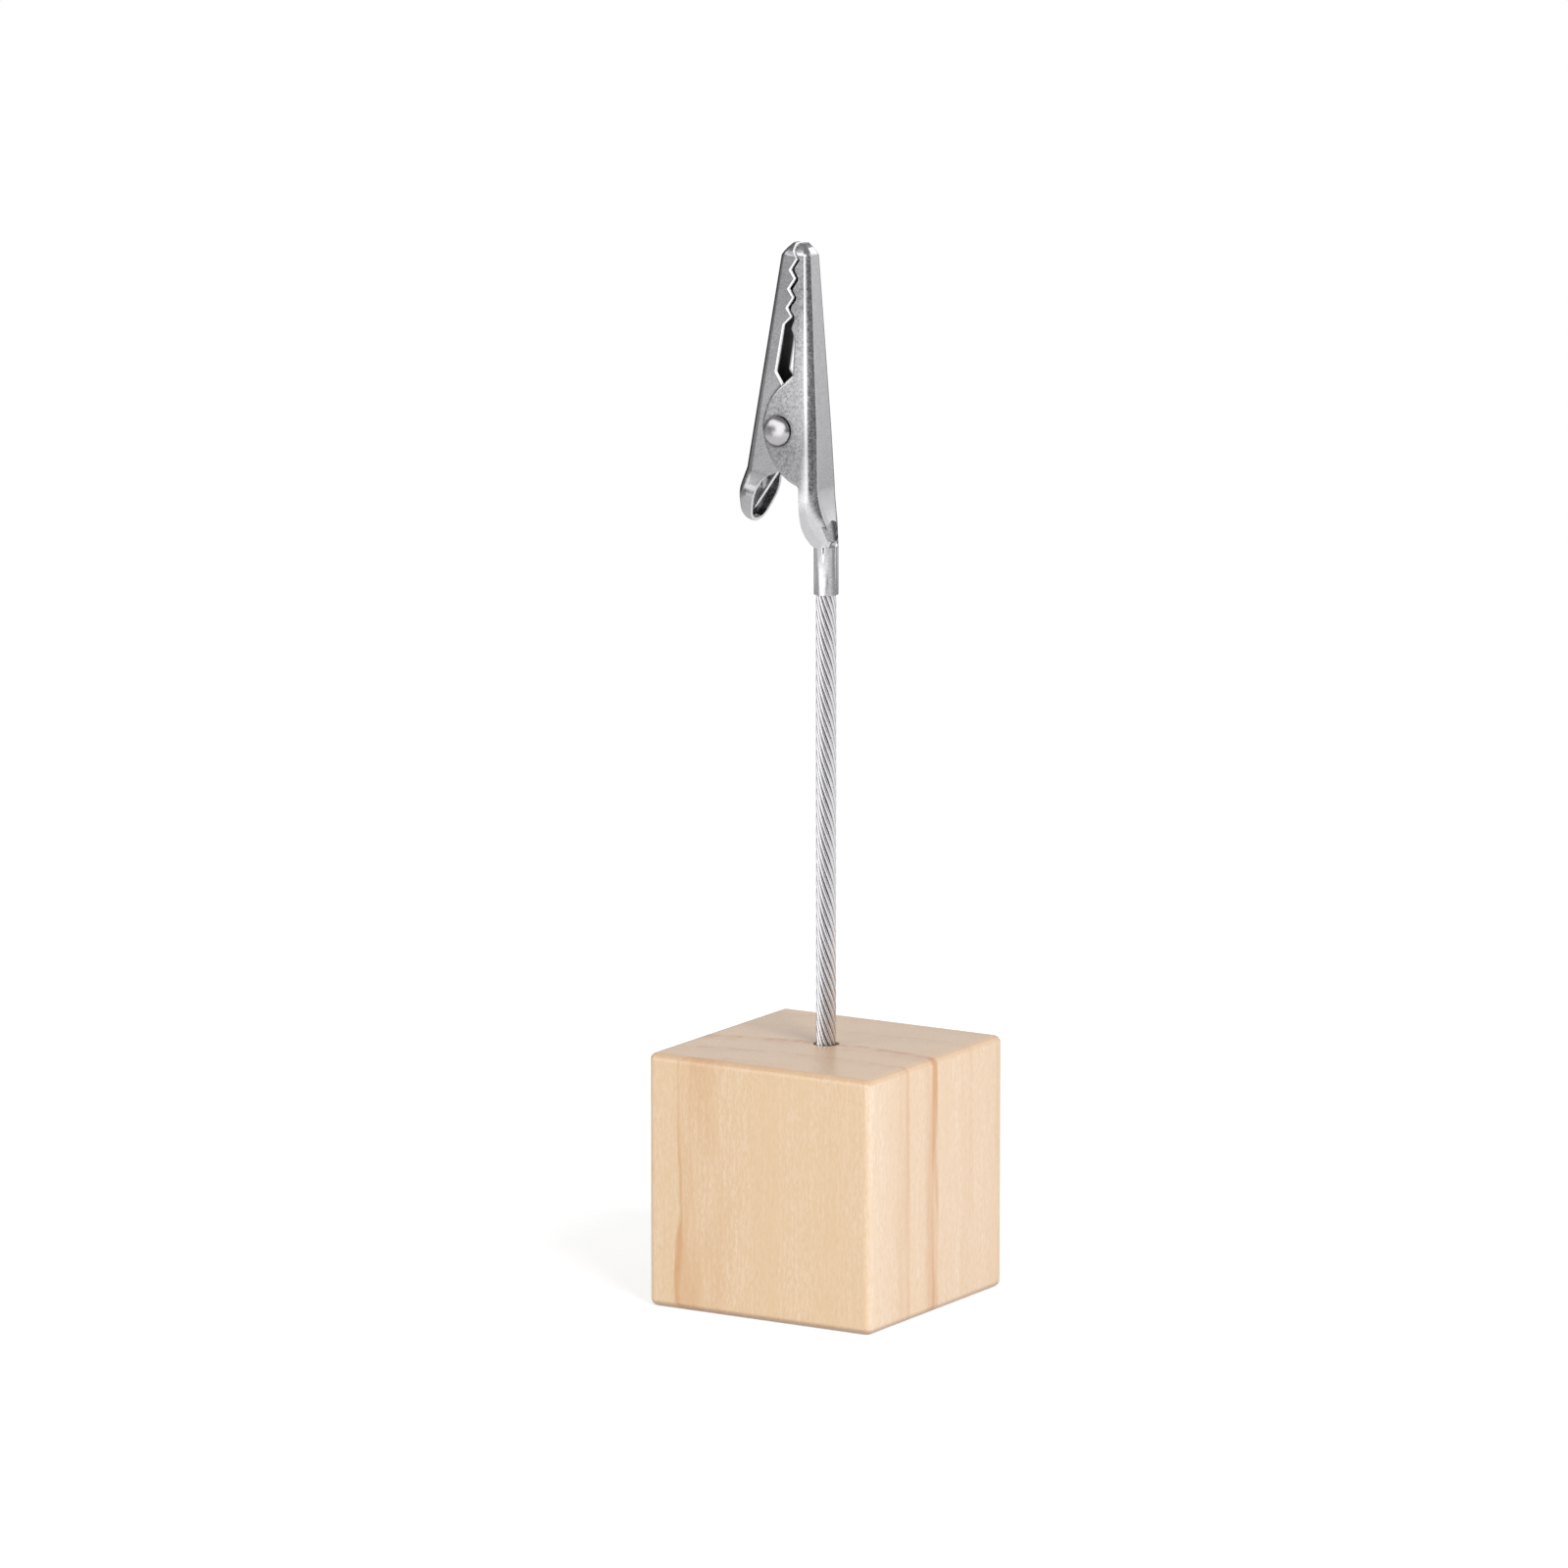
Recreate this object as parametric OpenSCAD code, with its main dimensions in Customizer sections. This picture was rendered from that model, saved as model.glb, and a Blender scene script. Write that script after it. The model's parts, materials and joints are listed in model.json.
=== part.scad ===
// Memo clip holder: a wooden cube carries a stiff wire-rope stem with a sprung toothed clip on top.
// Millimetres. The origin is the middle of the cube's bottom face, with +Z up along the stem.
// The clip opens in the XZ plane and its pivot lies along Y.

/* [Block] */
// Edge length of the wooden cube
block_size = 30; // [24:0.5:50]
// Rounding of the cube's edges and corners
block_edge_r = 0.8; // [0.4:0.1:3]
// Depth of the blind hole that takes the stem
hole_depth = 14; // [8:0.5:20]
// Width of the ring between the stem and the wall of its hole
hole_gap = 0.325; // [0.15:0.025:0.6]
// Distance of the glue's top below the top face
glue_recess = 1; // [0.4:0.1:3]
// Thickness of the glue under the stem's end
glue_floor = 0.6; // [0.3:0.1:2]

/* [Stem] */
// Diameter of one wire of the rope
wire_d = 0.44; // [0.36:0.01:0.6]
// Clear gap between the layers of wires
layer_gap = 0.0375; // [0.02:0.0025:0.08]
// Height of one full turn of the lay
rope_lay = 17.8; // [15:0.2:30]
// Number of wires in the outer layer
outer_count = 12; // [6:1:12]
// Number of wires in the inner layer
inner_count = 6; // [3:1:6]
// Length of stem that shows between the cube and the clip
stem_free = 52.9; // [30:0.1:90]

/* [Clip] */
// Thickness of the clip's sheet metal
sheet_t = 0.4; // [0.3:0.02:0.5]
// Distance of the pivot from the stem's axis
pivot_offset = 5; // [4.5:0.1:5.5]
// Height of the pivot above the lower end of the barrel
pivot_rise = 18.9; // [17:0.1:22]
// Length from the pivot to the tip of the nose
nose_len = 21.65; // [19:0.05:26]
// Length of the folded cap that closes each nose
nose_cap = 1.45; // [1:0.05:2]
// Full width of both noses where the cap begins
nose_w = 2.84; // [2.4:0.02:3.2]
// Full width of the folded cap at the tip
nose_tip_w = 1.1; // [0.9:0.05:1.6]
// Outer radius of the sheet's bends at the nose
nose_bend_r = 0.85; // [0.5:0.05:1]
// Outer radius of the sheet's bends at the pivot and the tail
bend_r = 1.5; // [0.9:0.05:1.6]
// Gap between the ears of the fixed jaw and the moving jaw where the ears begin
ear_gap = 0.1; // [0.08:0.01:0.16]

/* [Bite] */
// Lean of the bite line from the vertical, towards the fixed jaw
bite_lean = 5; // [3:0.25:7]
// Number of teeth on the moving jaw
tooth_count = 4; // [2:1:5]
// Distance from tooth to tooth
tooth_pitch = 2.22; // [1.8:0.02:2.5]
// Height of the teeth
tooth_h = 0.76; // [0.4:0.02:1]
// Distance from the nose's tip to the first tooth of the moving jaw
tooth_start = 1.7; // [1.4:0.05:2.2]
// Share of the pitch on the long side of a tooth
tooth_skew = 0.6; // [0.5:0.02:0.7]
// Gap between the meshed teeth at rest
tooth_gap = 0.45; // [0.1:0.01:0.5]
// Height of the throat's lower end above the pivot
throat_low = 6.6; // [6:0.1:7.5]
// Length of the ramps at the throat's ends
throat_ramp = 1.1; // [0.8:0.05:1.4]
// Depth of the throat at its upper end, from the bite line
throat_top = 0.85; // [0.5:0.05:1]
// Depth of the throat in the fixed jaw at its lower end, from the bite line
throat_fixed = 1.1; // [0.6:0.05:1.3]
// Depth of the throat in the moving jaw at its lower end, from the bite line
throat_moving = 1.35; // [0.8:0.05:1.5]

/* [Fixed jaw] */
// Distance from the bite line to the back where the nose cap begins
fixed_nose_depth = 1.8; // [1.5:0.05:2.1]
// Distance from the bite line to the tip of the nose cap's back edge
fixed_tip_depth = 0.62; // [0.4:0.02:0.9]
// Distance from the pivot to the back
fixed_depth = 4.83; // [4.4:0.05:5.2]
// Full width at the pivot
fixed_w = 5.06; // [4.8:0.02:5.5]
// Full width at the top of the tail
tail_w = 5.7; // [5.4:0.05:6.2]
// Distance of the back from the stem's axis at the top of the tail
tail_back = 0.08; // [-0.3:0.02:0.4]
// Distance of the tail's free edges from the stem's axis
tail_edge = 2.05; // [1.6:0.05:2.4]
// Depth of the tail's top below the pivot
tail_drop = 6.4; // [6:0.1:7]
// Height above the barrel at which the tail's free edges curve in
tail_curve = 2.9; // [2:0.1:4]
// Radius of the ear's front edge
ear_r = 6.93; // [6:0.05:8]
// Reach of the ear past the pivot
ear_reach = 2.2; // [1.9:0.05:2.6]
// Height of the ear's upper corner above the pivot
ear_rise = 5.68; // [5:0.05:5.9]
// Depth of the ear's lower bulge below the pivot
ear_belly = 5.1; // [4.5:0.1:5.8]
// Length of the barrel that is crimped on the stem
barrel_len = 5.6; // [4:0.1:8]
// Length of the stem inside the barrel
stem_in_barrel = 5.3; // [3:0.1:5.4]
// Wall of the barrel, coined thinner than the sheet
barrel_wall = 0.24; // [0.2:0.02:0.4]
// Width of the barrel's seam
seam_w = 0.16; // [0.1:0.02:0.3]
// Depth of the crimp dents in the barrel
crimp_depth = 0.1; // [0.04:0.01:0.14]
// Length of the crimp dents
crimp_len = 2.6; // [2:0.1:3.2]
// Height of the crimp dents' middle above the barrel's lower end
crimp_rise = 2.5; // [2:0.1:3]
// Turn of the crimp dents from the clip's sides towards its back
crimp_turn = 20; // [0:5:40]
// Diameter of the hole in the back above the barrel
wire_hole_d = 2.3; // [1.6:0.1:2.5]
// Height of that hole's middle above the barrel
wire_hole_rise = 1.85; // [1.6:0.05:2.2]

/* [Moving jaw] */
// Distance from the pivot to the straight back
moving_depth = 4.16; // [3.9:0.02:4.5]
// Lean of the back from the vertical
moving_tilt = 10.5; // [8:0.25:12]
// Distance from the bite line to the tip of the nose cap's back edge
moving_tip_depth = 1.05; // [0.8:0.05:1.4]
// Radius of the flanks' rounded lugs round the pivot
moving_lug_r = 2.4; // [2:0.05:2.8]
// Depth of the flanks' lower edges below the pivot
flank_drop = 4.7; // [4.2:0.1:5.2]
// Slope of the flanks' lower edges
flank_slope = 24; // [15:1:30]
// Depth below the pivot at which the flanks flare out into the thumb tab
flare_drop = 5.6; // [5:0.1:6.2]
// Full width of the thumb tab at its widest
tab_w = 5.8; // [5:0.1:6.4]
// Depth of the thumb tab's widest place below the pivot
tab_wide_drop = 8.1; // [7.6:0.1:8.6]
// Radius of the thumb tab's rounded end
tab_end_r = 2.3; // [1.9:0.1:2.5]
// Length from the pivot to the end of the thumb tab
tab_len = 11.8; // [10:0.05:13]
// Depth of the thumb tab's rim at its end
tab_depth = 1.9; // [1.7:0.05:2.3]
// Lean of the rim from the thumb tab's back
tab_slant = 10; // [4:0.5:12]
// Rounding between the thumb tab's back and its rim
tab_edge_r = 1.6; // [0.8:0.05:1.8]
// Rounding between the flanks' lower edges and the rim
tab_fillet = 0.7; // [0.3:0.05:1]

/* [Rivet] */
// Diameter of the rivet's shank
rivet_d = 1.8; // [1.4:0.05:2.1]
// Diameter of the rivet's heads
rivet_head_d = 3.45; // [2.8:0.05:4]
// Height of the domed part of the heads
rivet_dome = 0.55; // [0.3:0.05:0.9]
// Height of the straight rim of the heads
rivet_rim = 0.18; // [0.1:0.02:0.4]
// Radial clearance of the shank in the fixed jaw
rivet_fit = 0.02; // [0.01:0.005:0.05]
// Radial clearance of the shank in the moving jaw
pivot_fit = 0.05; // [0.02:0.005:0.1]

/* [Spring] */
// Diameter of the spring's wire
spring_wire_d = 0.4; // [0.3:0.02:0.5]
// Gap between the coil and the rivet's shank
spring_core_gap = 0.16; // [0.12:0.02:0.3]
// Gap between the coil and the moving jaw's flanks
spring_side_gap = 0.08; // [0.04:0.01:0.14]
// Gap between the spring's ends and the jaws that they press on
spring_seat_gap = 0.04; // [0.02:0.01:0.1]
// Full turns of the coil
spring_turns = 2; // [1:1:2]
// Distance of the spring's seat above the thumb tab's end
spring_tab_rise = 1.6; // [1.4:0.1:5]
// Depth of the spring's seat on the fixed jaw below the pivot
spring_tail_drop = 7.6; // [6:0.1:8.5]
// Distance that the spring's ends lean in from the ends of the coil
spring_leg_lean = 0.7; // [0:0.05:0.8]
// Bow of the leg that presses on the thumb tab
spring_leg_bow = 0.45; // [0:0.05:0.8]

/* [Fits] */
// Gap between the glue, the stem and the pieces that hold them
glue_gap = 0.02; // [0.01:0.005:0.05]
// Gap between the stem and the bore of the barrel
crimp_gap = 0.02; // [0.01:0.005:0.05]
// Gap under the rivet's heads
head_gap = 0.02; // [0.01:0.005:0.05]

/* [Hidden] */
// Smoothness of true curves, and of the points along computed ones
$fn = 64;
bend_steps = 5;
arc_steps = 10;
tail_steps = 8;
cap_steps = 3;
cap_power = 1.3;
disc_sides = 32;
wire_sides = 6;
lay_steps = 12;
spring_sides = 6;
spring_rings = 8;
leg_steps = 6;
// Overshoot of cuts, thickness of the slices that a hull is drawn over, and the least inner bend
over = 2;
slice = 0.01;
least_bend = 0.08;
// Half of the arc that the moving jaw's lugs are rounded over
lug_span = 50;
// Depth to which the tail runs into the barrel's wall, and its set-back from the wall's faces
weld = 0.2;
weld_step = 0.02;

// Stem
inner_lay_r = wire_d + layer_gap;
outer_lay_r = 2 * inner_lay_r;
rope_r = outer_lay_r + wire_d / 2;
hole_r = rope_r + hole_gap;
hole_z = block_size - hole_depth;
stem_z = hole_z + glue_floor;
barrel_z = block_size + stem_free;
stem_len = barrel_z + stem_in_barrel - stem_z;
stem_turn = 360 * stem_len / rope_lay;
stem_slices = ceil(stem_turn * lay_steps / 360);

// Clip heights and widths. Heights of the jaws are counted from the pivot.
pivot = [-pivot_offset, 0, barrel_z + pivot_rise];
bore_r = rope_r + crimp_gap;
barrel_r = bore_r + barrel_wall;
barrel_top = barrel_len - pivot_rise;
neck_r = barrel_r - weld_step;
shoulder_z = nose_len - nose_cap;
nose_half = nose_w / 2;
pivot_half = fixed_w / 2;
half_tooth = tooth_h / 2;
tip_half = nose_tip_w / 2;
tip_bend = tip_half / 2;
edge_x = pivot_offset - tail_edge;
rim_x = tab_depth - moving_depth;
rim_pitch = tan(tab_slant);
fixed_taper = (pivot_half - nose_half) / shoulder_z;
ear_half = pivot_half - fixed_taper * ear_rise;
moving_taper = (ear_half - sheet_t - ear_gap - nose_half) / (shoulder_z - ear_rise);
last_tooth = tooth_count - 1;
far = 3 * fixed_depth;
flank_span = 2 * tail_w;

// Rivet and spring
head_seat = pivot_half + fixed_taper * rivet_head_d / 2 + head_gap;
coil_r = rivet_d / 2 + spring_core_gap + spring_wire_d / 2;
coil_half = moving_half(0) - sheet_t - spring_side_gap - spring_wire_d / 2;

// Small helpers
function mix(a, b, t) = a + (b - a) * t;
function ease(t) = t * t * (3 - 2 * t);
function unit(v) = v / norm(v);
function arc(c, r, from, to) = [
    for (i = [0 : arc_steps])
        c + r * [cos(mix(from, to, i / arc_steps)), sin(mix(from, to, i / arc_steps))]
];
function curve(a, b, c) = [
    for (i = [0 : arc_steps])
        let (t = i / arc_steps) mix(mix(a, b, t), mix(b, c, t), t)
];

// A point at s along the bite line from the pivot and v across it, towards the fixed jaw
function bite(s, v) = [
    s * sin(bite_lean) + v * cos(bite_lean),
    s * cos(bite_lean) - v * sin(bite_lean)
];
// A point in the leaning frame of the moving jaw's back
function leaning(x, z) = [
    x * cos(moving_tilt) + z * sin(moving_tilt),
    z * cos(moving_tilt) - x * sin(moving_tilt)
];

// Half width of the moving jaw, and the place of its back, at a height above the pivot
function moving_half(z) = nose_half + moving_taper * (shoulder_z - z);
function moving_back(z) = (z * sin(moving_tilt) - moving_depth) / cos(moving_tilt);

// Swell of the nose caps: 1 at the shoulder, 0 at the tip
function cap_swell(t) = 1 - pow(t, cap_power);

// Heights of the tooth tips of the two jaws along the bite line
function moving_tip(i) = nose_len - tooth_start - i * tooth_pitch;
function fixed_tip(i) = moving_tip(i) - tooth_skew * tooth_pitch;

// Toothed edge from the nose down to the last tooth of the moving jaw
function bite_edge(shift) = concat(
    [bite(nose_len + over, shift - half_tooth)],
    [for (i = [0 : last_tooth]) each [
        bite(fixed_tip(i - 1), shift - half_tooth),
        bite(moving_tip(i), shift + half_tooth)
    ]]
);

// Cross-section of a bent channel, closed on its open side, which the flanks' outline cuts away
function section(x0, x1, half, r) = [
    for (c = [
        [x1 - r, half - r, 0],
        [x0 + r, half - r, 90],
        [x0 + r, r - half, 180],
        [x1 - r, r - half, 270]
    ])
        for (i = [0 : bend_steps - 1])
            let (a = c[2] + 90 * (i + 0.5) / bend_steps) [c[0] + r * cos(a), c[1] + r * sin(a)]
];
function at_height(points, z) = [for (p = points) [p[0], p[1], z]];

// A skin over rings of points, listed from the bottom up
module skin(rings) {
    n = len(rings[0]);
    top = len(rings) - 1;
    sides = [
        for (i = [0 : top - 1])
            for (j = [0 : n - 1])
                let (k = (j + 1) % n) each [
                    [i * n + j, (i + 1) * n + j, (i + 1) * n + k],
                    [i * n + j, (i + 1) * n + k, i * n + k]
                ]
    ];
    ends = [[for (j = [0 : n - 1]) j], [for (j = [n - 1 : -1 : 0]) top * n + j]];
    polyhedron(points = [for (ring = rings) each ring], faces = concat(sides, ends));
}

// Flanks of a jaw: its side outline, extruded across the clip
module flanks(outline) {
    rotate([90, 0, 0])
        linear_extrude(height = flank_span, center = true)
            polygon(outline);
}

// A cylinder along the pivot
module across(d) {
    rotate([90, 0, 0])
        cylinder(d = d, h = flank_span, center = true);
}

// Base block: the cube with rounded edges and its blind hole
module base_block() {
    color("burlywood")
        difference() {
            rounded_cube(block_size, block_edge_r);
            translate([0, 0, hole_z])
                cylinder(r = hole_r, h = hole_depth + over);
        }
}

module rounded_cube(size, r) {
    inner = size - 2 * r;
    ends = [-inner / 2, inner / 2];
    translate([0, 0, size / 2]) {
        cube([size, inner, inner], center = true);
        cube([inner, size, inner], center = true);
        cube([inner, inner, size], center = true);
        for (turn = [[0, 0, 0], [90, 0, 0], [0, 90, 0]])
            rotate(turn)
                for (x = ends, y = ends)
                    translate([x, y, 0])
                        cylinder(r = r, h = inner, center = true);
        for (x = ends, y = ends, z = ends)
            translate([x, y, z])
                sphere(r = r);
    }
}

// Glue plug: fills the ring round the stem, below the mouth of the hole
module glue_plug() {
    color("lightyellow")
        difference() {
            translate([0, 0, hole_z + glue_gap])
                cylinder(r = hole_r - glue_gap, h = hole_depth - glue_recess - glue_gap);
            translate([0, 0, stem_z - glue_gap])
                cylinder(r = rope_r + glue_gap, h = hole_depth);
        }
}

// Stem: one straight core wire and two layers of wires laid round it left-handed
module core_wire() {
    color("lightgray")
        translate([0, 0, stem_z])
            cylinder(d = wire_d, h = stem_len);
}

module laid_wire(lay_r, start) {
    stretch = 1 / cos(atan(2 * PI * lay_r / rope_lay));
    translate([0, 0, stem_z])
        linear_extrude(stem_len, twist = stem_turn, slices = stem_slices, segments = wire_sides)
            rotate(start)
                translate([lay_r, 0])
                    scale([1, stretch])
                        circle(d = wire_d, $fn = wire_sides);
}

module inner_wire(i) {
    color("silver")
        laid_wire(inner_lay_r, 360 * i / inner_count);
}

module outer_wire(i) {
    color("silver")
        laid_wire(outer_lay_r, 360 * i / outer_count);
}

// Fixed jaw: a toothed channel with ears, whose tail closes into the crimped barrel.
// Each station gives its height, front, back, half width, bend radius, wall, and the inner skin's drop.
function fixed_stations() = concat(
    [for (i = [tail_steps : -1 : 0])
        let (t = i / tail_steps,
             half = mix(tail_w / 2, neck_r, ease(t * t)),
             bend = half * mix(2 * bend_r / tail_w, 1, ease(t)))
        [mix(-tail_drop, barrel_top - weld, t),
         mix(-far, pivot_offset - neck_r, t),
         pivot_offset + mix(tail_back, neck_r, ease(t)),
         half, bend, mix(sheet_t, barrel_wall - 2 * weld_step, t), 0]
    ],
    [[0, -far, fixed_depth, pivot_half, bend_r, sheet_t, 0]],
    [for (i = [0 : cap_steps])
        let (t = i / cap_steps, swell = cap_swell(t))
        [mix(shoulder_z, nose_len, t),
         -far,
         mix(bite(nose_len, fixed_tip_depth)[0], bite(shoulder_z, fixed_nose_depth)[0], swell),
         mix(tip_half, nose_half, swell), mix(tip_bend, nose_bend_r, swell), sheet_t, sheet_t]
    ]
);
function fixed_rings(inset) = [
    for (s = fixed_stations())
        let (t = inset * s[5])
        at_height(section(s[1] + t, s[2] - t, max(s[3] - t, least_bend), max(s[4] - t, least_bend)),
                  s[0] - inset * s[6])
];

fixed_outline = concat(
    bite_edge(tooth_gap / 2),
    [
        bite(fixed_tip(last_tooth), tooth_gap / 2),
        bite(fixed_tip(last_tooth) - throat_ramp, throat_top),
        bite(throat_low, throat_fixed)
    ],
    arc([ear_r - ear_reach, 0], ear_r, 180 - asin(ear_rise / ear_r), 180),
    curve([-ear_reach, 0], [-ear_reach / 2, -ear_belly], [edge_x, -tail_drop]),
    curve([edge_x, barrel_top + tail_curve], [edge_x, barrel_top], [pivot_offset, barrel_top - 2 * weld]),
    [
        [far, barrel_top - 2 * weld],
        [far, nose_len + over]
    ]
);

module fixed_jaw() {
    color("gainsboro")
        translate(pivot)
            difference() {
                union() {
                    intersection() {
                        difference() {
                            skin(fixed_rings(0));
                            skin(fixed_rings(1));
                        }
                        flanks(fixed_outline);
                    }
                    barrel();
                }
                across(rivet_d + 2 * rivet_fit);
                translate([pivot_offset, 0, barrel_top + wire_hole_rise])
                    rotate([0, 90, 0])
                        cylinder(d = wire_hole_d, h = far);
            }
}

// Barrel: a tube with its seam towards the moving jaw and a crimp dent on both sides
module barrel() {
    dent_r = (crimp_len * crimp_len / 4 + crimp_depth * crimp_depth) / (2 * crimp_depth);
    translate([pivot_offset, 0, -pivot_rise])
        difference() {
            cylinder(r = barrel_r, h = barrel_len);
            translate([0, 0, -over])
                cylinder(r = bore_r, h = barrel_len + 2 * over);
            translate([-barrel_r - over, -seam_w / 2, -over])
                cube([barrel_r + over, seam_w, barrel_len + 2 * over]);
            for (side = [-1, 1])
                rotate(-side * crimp_turn)
                    translate([0, side * (barrel_r - crimp_depth + dent_r), crimp_rise])
                        rotate([0, 90, 0])
                            cylinder(r = dent_r, h = 2 * barrel_r, center = true);
        }
}

// Moving jaw: a toothed channel that nests between the ears and flares into a spoon-shaped thumb tab
module moving_slice(inset) {
    half = moving_half(-flare_drop) - inset;
    rotate([0, moving_tilt, 0])
        translate([0, 0, -flare_drop])
            linear_extrude(height = slice)
                polygon(section(inset - moving_depth, far, half, bend_r - inset));
}

module moving_channel(inset) {
    hull() {
        for (i = [0 : cap_steps]) {
            t = i / cap_steps;
            swell = cap_swell(t);
            back = mix(bite(nose_len, -moving_tip_depth)[0], moving_back(shoulder_z), swell);
            bend = mix(tip_bend, nose_bend_r, swell);
            translate([0, 0, mix(shoulder_z, nose_len, t) - inset])
                linear_extrude(height = slice)
                    polygon(section(back + inset, far,
                                    max(mix(tip_half, nose_half, swell) - inset, least_bend),
                                    max(bend - inset, least_bend)));
        }
        moving_slice(inset);
    }
}

module tab_bowl(r, drop, inset) {
    edge = tab_edge_r - inset;
    rotate([0, moving_tilt, 0])
        translate([inset - moving_depth, 0, -drop])
            rotate([0, 90, 0])
                rotate_extrude($fn = disc_sides)
                    polygon(concat(
                        [[0, 0]],
                        arc([r - inset - edge, edge], edge, -90, 0),
                        [[r - inset, far], [0, far]]
                    ));
}

module thumb_tab(inset) {
    hull() {
        moving_slice(inset);
        tab_bowl(tab_w / 2, tab_wide_drop, inset);
        tab_bowl(tab_end_r, tab_len - tab_end_r, inset);
    }
}

// Lower edge of the flanks, from the pivot's line outwards, and the corner where it meets the rim
function flank_edge(run) = [-run * cos(flank_slope), -flank_drop - run * sin(flank_slope)];
function rim_point(h) = leaning(rim_x + rim_pitch * h, h - tab_len);
rim_run = (flank_drop * sin(moving_tilt) - rim_x - rim_pitch * (tab_len - flank_drop * cos(moving_tilt)))
    / (cos(flank_slope + moving_tilt) - rim_pitch * sin(flank_slope + moving_tilt));
rim_corner = flank_edge(rim_run);
moving_outline = concat(
    bite_edge(-tooth_gap / 2),
    [
        bite(moving_tip(last_tooth) - throat_ramp, -throat_top),
        bite(throat_low, -throat_moving),
        bite(throat_low - throat_ramp, -tooth_gap)
    ],
    arc([0, 0], moving_lug_r, lug_span, -lug_span),
    [flank_edge(-moving_lug_r / 2)],
    curve(flank_edge(rim_run - tab_fillet), rim_corner, rim_corner + leaning(-rim_pitch, -1) * tab_fillet),
    [
        rim_point(-over),
        leaning(-far, -tab_len - over),
        [-far, nose_len + over]
    ]
);

module moving_jaw() {
    color("silver")
        translate(pivot)
            difference() {
                intersection() {
                    difference() {
                        union() {
                            moving_channel(0);
                            thumb_tab(0);
                        }
                        moving_channel(sheet_t);
                        thumb_tab(sheet_t);
                    }
                    flanks(moving_outline);
                }
                across(rivet_d + 2 * pivot_fit);
            }
}

// Pivot rivet: a round shank with a domed head on each side of the ears
module pivot_rivet() {
    head_r = rivet_head_d / 2;
    dome_r = (head_r * head_r + rivet_dome * rivet_dome) / (2 * rivet_dome);
    color("whitesmoke")
        translate(pivot)
            rotate([90, 0, 0])
                rotate_extrude() {
                    translate([0, -head_seat])
                        square([rivet_d / 2, 2 * head_seat]);
                    for (side = [0, 1])
                        mirror([0, side])
                            translate([0, head_seat]) {
                                square([head_r, rivet_rim]);
                                intersection() {
                                    translate([0, rivet_rim + rivet_dome - dome_r])
                                        circle(r = dome_r);
                                    square([head_r, rivet_rim + rivet_dome]);
                                }
                            }
                }
}

// Jaw spring: a torsion coil round the rivet, whose crossed legs press the tab and the tail apart.
// Points are [x, y, z] from the pivot.
tab_seat = leaning(sheet_t + spring_seat_gap + spring_wire_d / 2 - moving_depth, spring_tab_rise - tab_len);
tail_seat = [
    mix(fixed_depth, pivot_offset + tail_back, spring_tail_drop / tail_drop)
        - sheet_t - spring_seat_gap - spring_wire_d / 2,
    -spring_tail_drop
];
tab_angle = atan2(tab_seat[1], tab_seat[0]) + acos(coil_r / norm(tab_seat));
tail_angle = atan2(tail_seat[1], tail_seat[0]) - acos(coil_r / norm(tail_seat));
coil_sweep = 360 * spring_turns + (tail_angle - tab_angle + 720) % 360;
coil_points = ceil(coil_sweep * spring_rings / 360);
leg_y = coil_half - spring_leg_lean;
leg_root = [coil_r * cos(tail_angle - coil_sweep), coil_half, coil_r * sin(tail_angle - coil_sweep)];
leg_end = [tab_seat[0], leg_y, tab_seat[1]];
leg_side = unit(cross([0, 1, 0], leg_root - leg_end));
spring_path = concat(
    [[tail_seat[0], -leg_y, tail_seat[1]]],
    [for (i = [0 : coil_points])
        let (t = i / coil_points, a = tail_angle - coil_sweep * t)
        [coil_r * cos(a), mix(-coil_half, coil_half, t), coil_r * sin(a)]
    ],
    [for (i = [1 : leg_steps])
        let (t = i / leg_steps)
        mix(leg_root, leg_end, t) + 4 * t * (1 - t) * spring_leg_bow * leg_side
    ]
);

function tangent(path, i) = unit(path[min(i + 1, len(path) - 1)] - path[max(i - 1, 0)]);
function tube_rings(path, r) = [
    for (i = [0 : len(path) - 1])
        let (t = tangent(path, i), side = unit(cross(t, [0, 1, 0])), up = cross(side, t))
        [for (j = [0 : spring_sides - 1])
            let (a = 360 * j / spring_sides) path[i] + r * (cos(a) * side + sin(a) * up)]
];

module jaw_spring() {
    color("dimgray")
        translate(pivot)
            skin(tube_rings(spring_path, spring_wire_d / 2));
}

// Least gap of the spring to itself, between points that are half a turn or more apart
spring_gap = min([
    for (i = [0 : len(spring_path) - 1])
        for (j = [i + spring_rings / 2 : 1 : len(spring_path) - 1])
            norm(spring_path[i] - spring_path[j])
]) - spring_wire_d;
echo(spring_gap = spring_gap);

base_block();
glue_plug();
core_wire();
for (i = [1 : inner_count]) inner_wire(i);
for (i = [1 : outer_count]) outer_wire(i);
fixed_jaw();
moving_jaw();
pivot_rivet();
jaw_spring();
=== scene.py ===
import json
import math

import bmesh
import bpy
from mathutils import Matrix, Vector


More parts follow.
